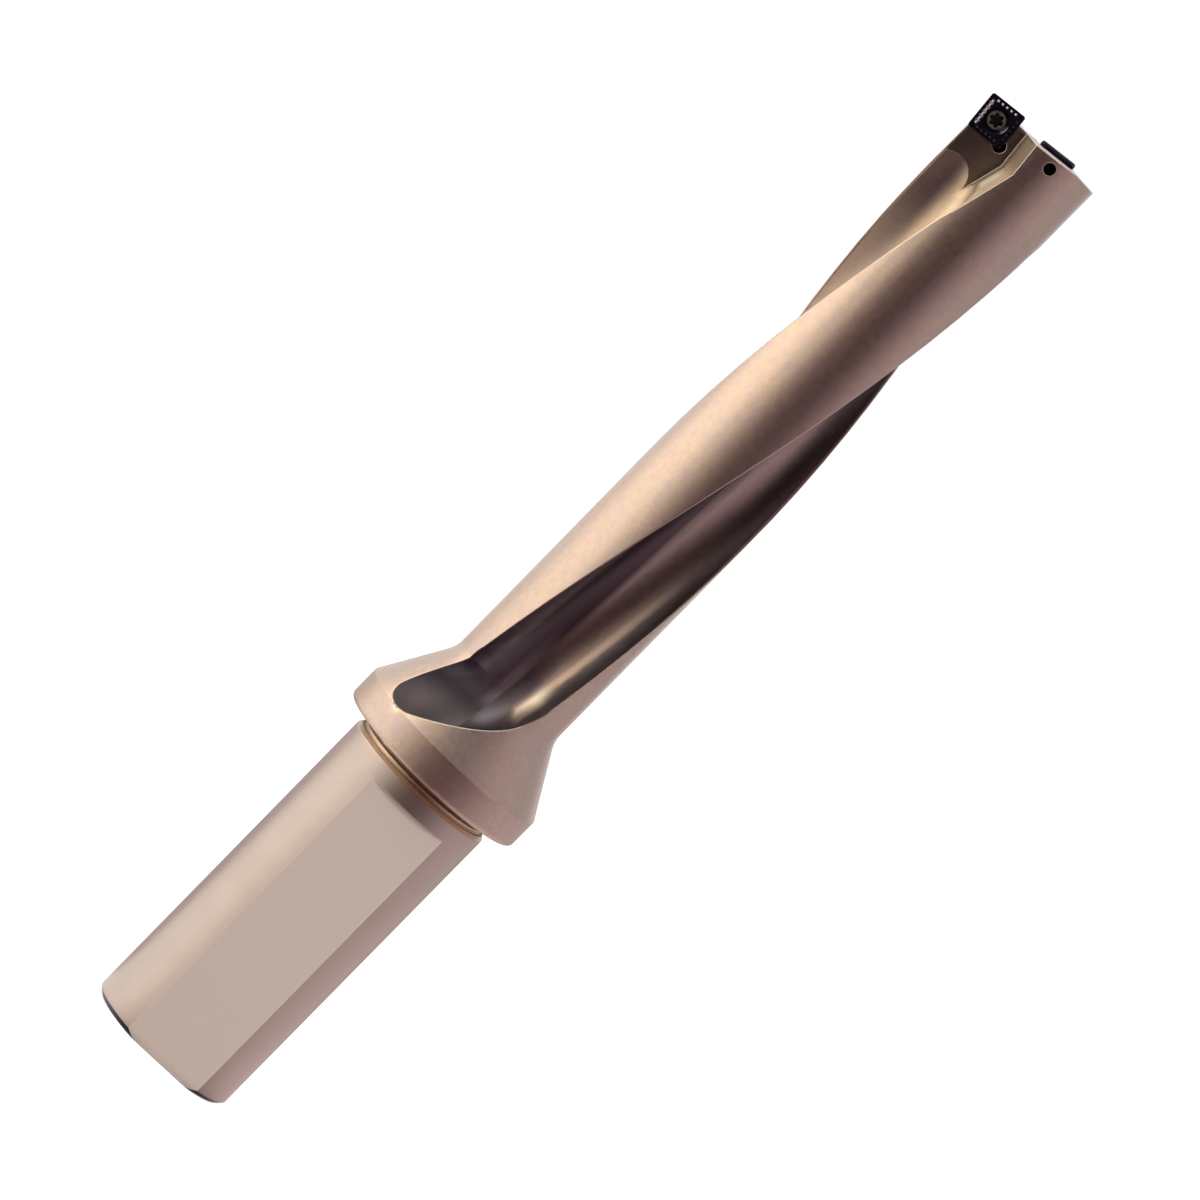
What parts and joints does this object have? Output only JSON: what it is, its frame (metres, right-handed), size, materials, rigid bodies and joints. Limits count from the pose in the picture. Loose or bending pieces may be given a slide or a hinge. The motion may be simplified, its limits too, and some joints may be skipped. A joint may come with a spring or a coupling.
{
  "type": "indexable insert drill",
  "caption": "Indexable insert drill with a side-lock cylindrical shank, flange, helical chip flutes and square carbide inserts held by countersunk screws.",
  "frame": {"origin": "centre of the shank's end face, on the tool's axis", "axes": "+Z along the tool's axis towards the cutting end; -Y is the outward normal of the clamping flat, and the outer insert's face looks the same way"},
  "size_m": [0.032, 0.032, 0.1848],
  "materials": {
    "body_steel": "satin nickel-coated steel with a warm champagne tone",
    "insert_carbide": "coated carbide, near black with a faint violet sheen",
    "screw_steel": "dull bronze-grey steel"
  },
  "bodies": {
    "root": {"drill_body": "body_steel", "peripheral_insert": "insert_carbide", "central_insert": "insert_carbide", "peripheral_insert_screw": "screw_steel", "central_insert_screw": "screw_steel"}
  },
  "joints": []
}
